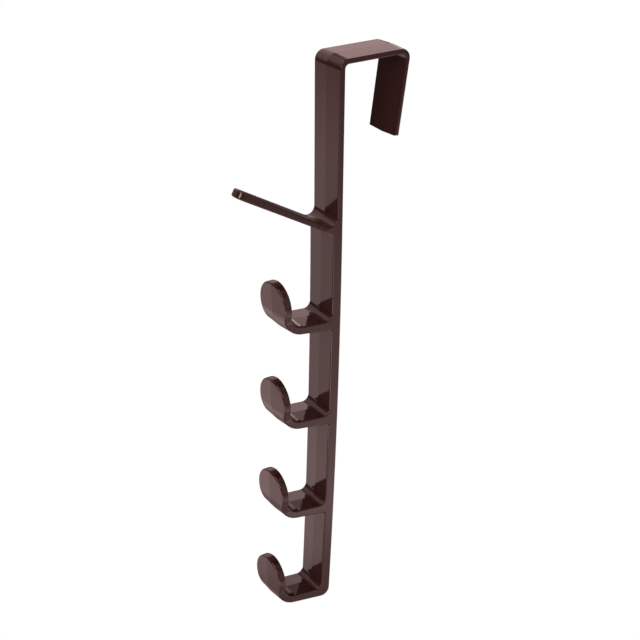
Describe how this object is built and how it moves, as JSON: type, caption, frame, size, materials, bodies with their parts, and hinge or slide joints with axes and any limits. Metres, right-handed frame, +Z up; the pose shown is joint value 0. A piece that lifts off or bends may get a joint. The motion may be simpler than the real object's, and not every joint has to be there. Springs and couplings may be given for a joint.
{
  "type": "over door hook",
  "caption": "Moulded strip that hooks over the top of a door, with an upturned peg above a row of rounded J-shaped coat hooks down its front.",
  "frame": {"origin": "middle of the bridge's underside, where it sits on the top edge of the door", "axes": "+Z up along the door, -Y out of the door into the room, where the hooks are, +X across the strip"},
  "size_m": [0.0294, 0.1137, 0.3679],
  "materials": {
    "rack_plastic": "glossy dark brown, as moulded"
  },
  "bodies": {
    "root": {"door_hook_rack": "rack_plastic"}
  },
  "joints": []
}
